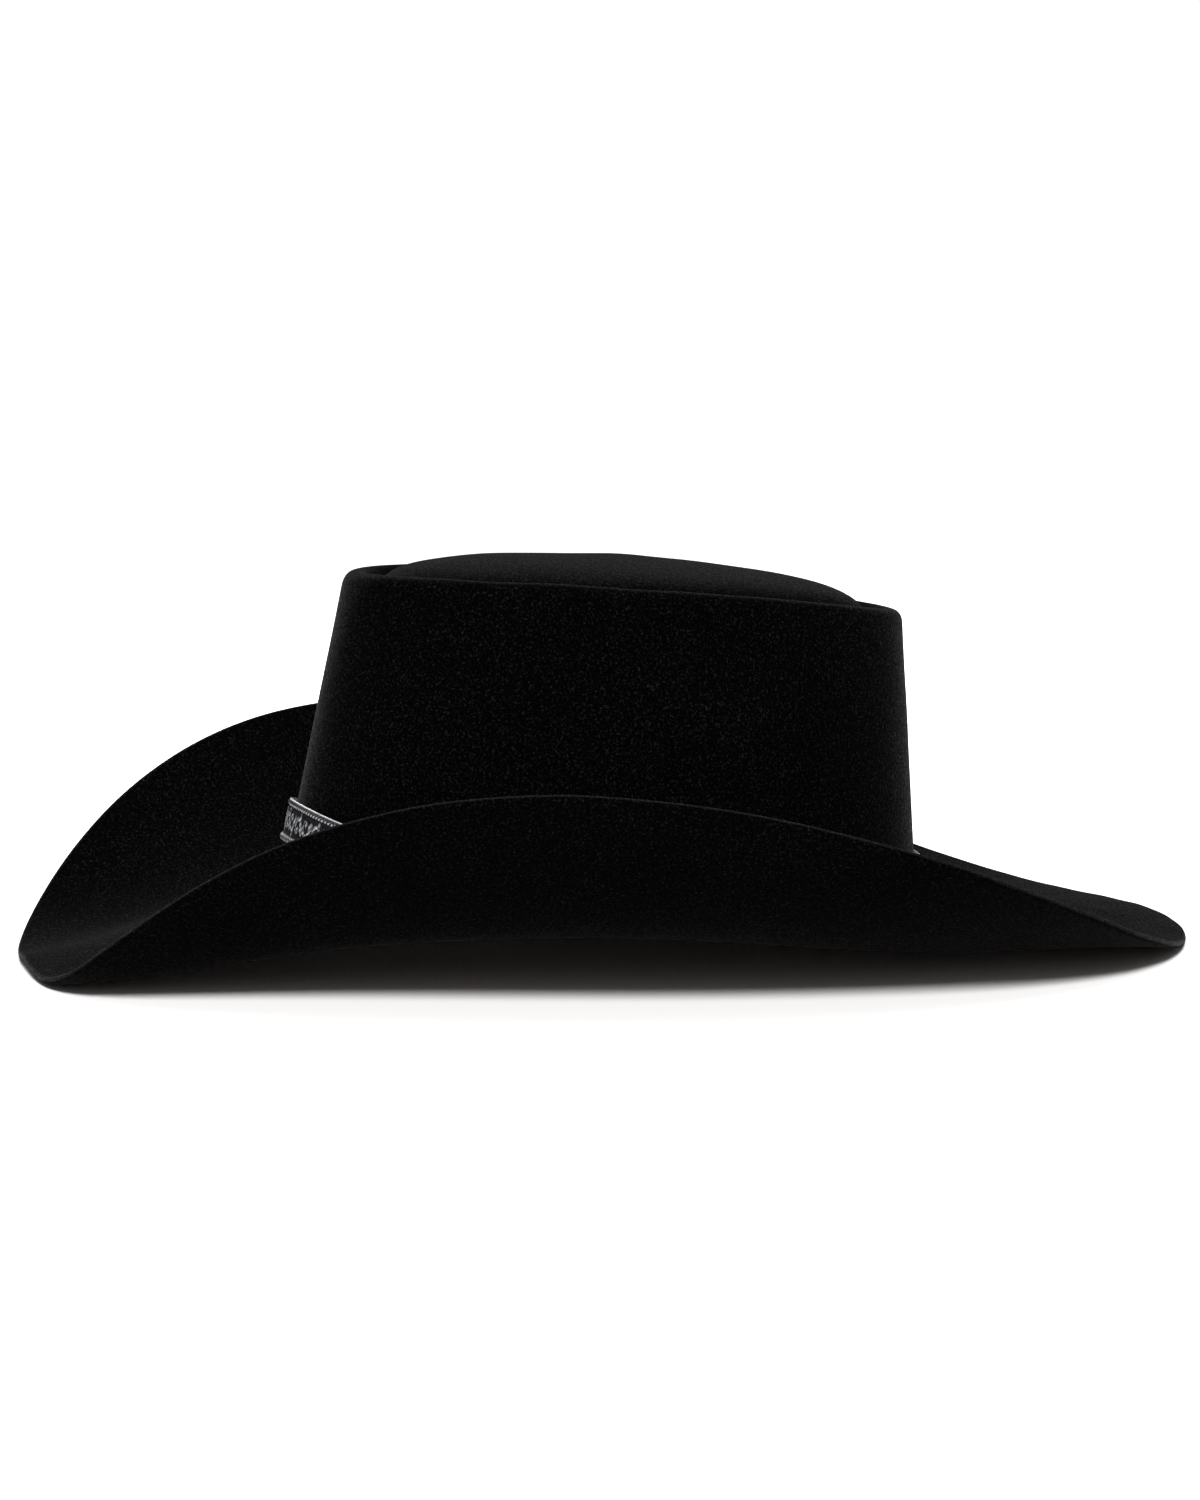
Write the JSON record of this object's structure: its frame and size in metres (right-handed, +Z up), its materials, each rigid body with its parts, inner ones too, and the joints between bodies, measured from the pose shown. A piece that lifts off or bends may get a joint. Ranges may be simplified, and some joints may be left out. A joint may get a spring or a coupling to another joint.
{
  "type": "cowboy hat",
  "caption": "Black felt Western hat with a telescope crown, a brim rolled up at the sides and a tooled leather hatband with a small buckle set.",
  "frame": {"origin": "middle of the hat's footprint, on the surface that the brim rests on", "axes": "+Z up; the front of the hat faces -Y, so +Y is the longest way, front to back; the wearer's left, with the buckle, is +X"},
  "size_m": [0.3494, 0.3794, 0.1282],
  "materials": {
    "fur_felt": "deep black fur felt with a soft nap",
    "sweat_leather": "smooth black-brown roan leather",
    "reed_plastic": "extruded plastic reed",
    "casing_tape": "woven cotton casing",
    "black_thread": "waxed black sewing thread",
    "liner_satin": "black satin",
    "piping_cord": "satin-covered cord",
    "band_leather": "tooled black leather, waxed",
    "band_lining": "split leather lining",
    "edge_thread": "twisted black lacing",
    "buckle_metal": "antiqued nickel silver",
    "bow_ribbon": "narrow grosgrain ribbon"
  },
  "bodies": {
    "hat": {"felt_body": "fur_felt", "sweatband": "sweat_leather", "sweatband_reed": "reed_plastic", "reed_tape": "casing_tape", "reed_ferrule": "reed_plastic", "seam_backing": "sweat_leather", "seam_stitches": "black_thread", "sweatband_thread": "black_thread", "bow_ribbon": "bow_ribbon", "bow_knot": "bow_ribbon", "liner_side": "liner_satin", "liner_tip": "liner_satin", "liner_piping": "piping_cord", "hatband_strap": "band_leather", "hatband_lining": "band_lining", "hatband_upper_thread": "edge_thread", "hatband_lower_thread": "edge_thread", "fold_stitches": "black_thread", "buckle_frame": "buckle_metal", "strap_tip": "buckle_metal"},
    "tongue": {"buckle_prong": "buckle_metal"},
    "keeper": {"keeper_loop": "buckle_metal"}
  },
  "joints": [
    {"name": "tongue_lift", "type": "hinge", "parent": "hat", "child": "tongue", "pos_m": [0.08767, 0.00079, 0.02945], "axis": [-0.2259, 0.1146, 0.9674], "range_deg": [0, 75]},
    {"name": "keeper_slide", "type": "slide", "parent": "hat", "child": "keeper", "axis": [-0.1296, 0.9798, -0.1521], "range_m": [0, 0.004]}
  ]
}
